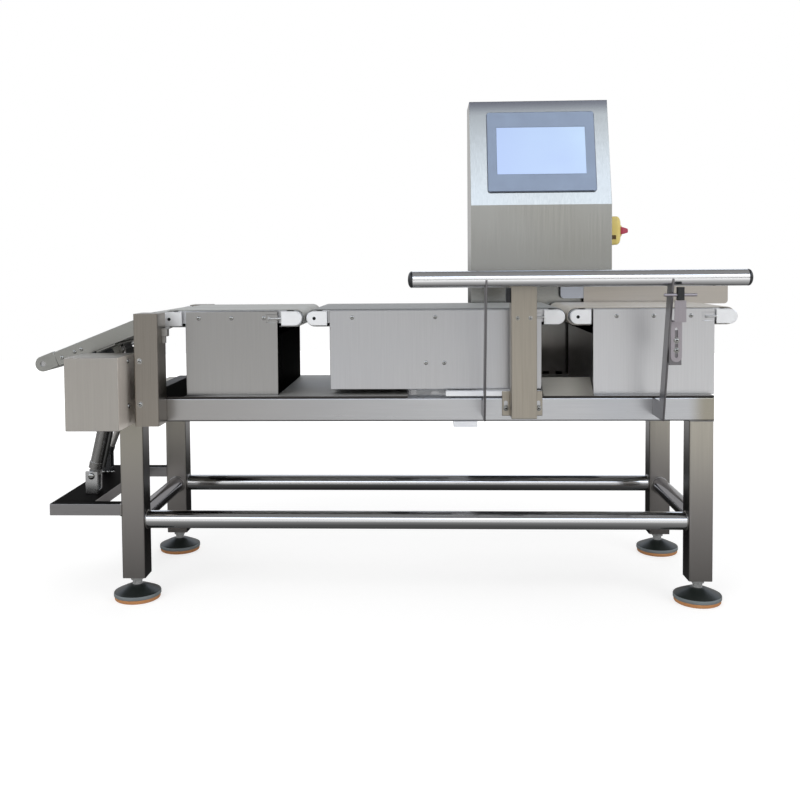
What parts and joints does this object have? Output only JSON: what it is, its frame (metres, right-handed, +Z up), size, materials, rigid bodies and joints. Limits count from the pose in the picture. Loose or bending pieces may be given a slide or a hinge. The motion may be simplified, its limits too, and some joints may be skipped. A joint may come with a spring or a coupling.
{
  "type": "in-line checkweigher",
  "caption": "In-line checkweigher: belt conveyors in a row, the middle one on a load cell, with a drop-down reject conveyor and a touch-screen cabinet.",
  "frame": {"origin": "under the middle of the whole machine's box, on the floor", "axes": "+X along the conveyors towards the infeed, +Y from the guard rail to the cabinet, +Z up"},
  "size_m": [1.5828, 0.7658, 1.1335],
  "materials": {
    "stainless_tube": "brushed stainless tube",
    "stainless_sheet": "brushed stainless sheet",
    "stainless_post": "stainless with a vertical grain",
    "bright_steel": "polished",
    "aluminium": "satin, machined",
    "conveyor_belt": "matt polymer belting",
    "timing_rubber": "matt",
    "pad_rubber": "matt",
    "foot_dark": "matt",
    "black_plastic": "satin",
    "bezel": "satin",
    "screen_glass": "gloss",
    "yellow_plastic": "gloss",
    "red_plastic": "gloss",
    "motor_paint": "satin"
  },
  "bodies": {
    "base": {"legs": "stainless_tube", "long_rails": "stainless_tube", "cross_rails": "stainless_tube", "long_tubes": "stainless_tube", "cross_tubes": "stainless_tube", "platform_rails": "stainless_tube", "platform_plate": "stainless_sheet", "deck_plates": "stainless_sheet", "foot_spindles": "foot_dark", "foot_pads": "pad_rubber", "reject_posts": "stainless_post", "pivot_blocks": "aluminium", "valve_box_cover": "stainless_sheet", "valve_box_back": "stainless_sheet", "valve_block": "stainless_sheet", "housing_outfeed": "stainless_sheet", "housing_weigh": "stainless_sheet", "housing_infeed": "stainless_sheet", "slider_beds": "stainless_sheet", "belt_outfeed": "conveyor_belt", "belt_weigh": "conveyor_belt", "belt_infeed": "conveyor_belt", "nose_brackets": "aluminium", "tension_bolts": "bright_steel", "panel_screws": "bright_steel", "drive_motors": "motor_paint", "timing_belts": "timing_rubber", "load_cell": "aluminium", "load_cell_mounts": "stainless_sheet", "guard_tube": "stainless_tube", "guard_caps": "black_plastic", "guard_brackets": "stainless_post", "sensor_post": "stainless_post", "sensors": "black_plastic", "sensor_holder": "stainless_sheet", "guide_plates": "stainless_sheet", "cabinet_shell": "stainless_sheet", "hmi_bezel": "bezel", "hmi_screen": "screen_glass", "isolator_base": "yellow_plastic", "clevis_brackets": "aluminium", "frame_bolts": "bright_steel"},
    "reject": {"reject_frame": "stainless_sheet", "reject_belt": "conveyor_belt", "reject_noses": "aluminium", "reject_motor": "motor_paint"},
    "reject_head": {"reject_head_roller": "bright_steel"},
    "reject_tail": {"reject_tail_roller": "bright_steel"},
    "cylinder": {"cylinder_barrel": "aluminium"},
    "piston_rod": {"cylinder_rod": "bright_steel"},
    "damper": {"damper_body": "black_plastic"},
    "damper_piston": {"damper_rod": "bright_steel"},
    "door": {"cabinet_door": "stainless_sheet"},
    "main_switch": {"isolator_handle": "red_plastic"},
    "drive_outfeed": {"drive_roller_outfeed": "bright_steel"},
    "idler_outfeed": {"idler_roller_outfeed": "bright_steel"},
    "drive_weigh": {"drive_roller_weigh": "bright_steel"},
    "idler_weigh": {"idler_roller_weigh": "bright_steel"},
    "drive_infeed": {"drive_roller_infeed": "bright_steel"},
    "idler_infeed": {"idler_roller_infeed": "bright_steel"}
  },
  "joints": [
    {"name": "reject_tilt", "type": "hinge", "parent": "base", "child": "reject", "pos_m": [-0.53658, -0.01974, 0.603], "axis": [0, 1, 0], "range_deg": [0, 21.4]},
    {"name": "cylinder_pivot", "type": "hinge", "parent": "base", "child": "cylinder", "pos_m": [-0.69757, -0.11474, 0.251], "axis": [0, 1, 0], "range_deg": [-6, 0.5]},
    {"name": "cylinder_stroke", "type": "slide", "parent": "cylinder", "child": "piston_rod", "axis": [0.2285, 0, 0.9736], "range_m": [-0.001, 0.037]},
    {"name": "damper_pivot", "type": "hinge", "parent": "base", "child": "damper", "pos_m": [-0.74757, 0.12026, 0.244], "axis": [0, 1, 0], "range_deg": [-6.5, 0.5]},
    {"name": "damper_stroke", "type": "slide", "parent": "damper", "child": "damper_piston", "axis": [0.3743, 0, 0.9273], "range_m": [-0.001, 0.033]},
    {"name": "reject_head_spin", "type": "hinge", "parent": "reject", "child": "reject_head", "pos_m": [-0.53658, -0.01974, 0.603], "axis": [0, 1, 0], "continuous": true},
    {"name": "reject_tail_spin", "type": "hinge", "parent": "reject", "child": "reject_tail", "pos_m": [-0.77492, -0.01974, 0.50959], "axis": [0, 1, 0], "continuous": true},
    {"name": "drive_outfeed_spin", "type": "hinge", "parent": "base", "child": "drive_outfeed", "pos_m": [-0.49907, -0.01974, 0.6045], "axis": [0, 1, 0], "continuous": true},
    {"name": "idler_outfeed_spin", "type": "hinge", "parent": "base", "child": "idler_outfeed", "pos_m": [-0.22807, -0.01974, 0.6045], "axis": [0, 1, 0], "continuous": true},
    {"name": "drive_weigh_spin", "type": "hinge", "parent": "base", "child": "drive_weigh", "pos_m": [-0.18707, -0.01974, 0.6045], "axis": [0, 1, 0], "continuous": true},
    {"name": "idler_weigh_spin", "type": "hinge", "parent": "base", "child": "idler_weigh", "pos_m": [0.32893, -0.01974, 0.6045], "axis": [0, 1, 0], "continuous": true},
    {"name": "drive_infeed_spin", "type": "hinge", "parent": "base", "child": "drive_infeed", "pos_m": [0.37043, -0.01974, 0.6045], "axis": [0, 1, 0], "continuous": true},
    {"name": "idler_infeed_spin", "type": "hinge", "parent": "base", "child": "idler_infeed", "pos_m": [0.68693, -0.01974, 0.6045], "axis": [0, 1, 0], "continuous": true},
    {"name": "door_hinge", "type": "hinge", "parent": "base", "child": "door", "pos_m": [0.51943, 0.36026, 0.76], "axis": [0, 0, -1], "range_deg": [0, 110]},
    {"name": "main_switch_turn", "type": "hinge", "parent": "base", "child": "main_switch", "pos_m": [0.55243, 0.27026, 0.801], "axis": [1, 0, 0], "range_deg": [0, 90]}
  ],
  "couplings": [
    {"joint": "cylinder_pivot", "follows": "reject_tilt", "ratio": -0.25208},
    {"joint": "cylinder_stroke", "follows": "reject_tilt", "m_per_rad": 0.092231},
    {"joint": "damper_pivot", "follows": "reject_tilt", "ratio": -0.27482},
    {"joint": "damper_stroke", "follows": "reject_tilt", "m_per_rad": 0.079191},
    {"joint": "reject_tail_spin", "follows": "reject_head_spin", "ratio": 1},
    {"joint": "idler_outfeed_spin", "follows": "drive_outfeed_spin", "ratio": 1},
    {"joint": "idler_weigh_spin", "follows": "drive_weigh_spin", "ratio": 1},
    {"joint": "idler_infeed_spin", "follows": "drive_infeed_spin", "ratio": 1}
  ]
}
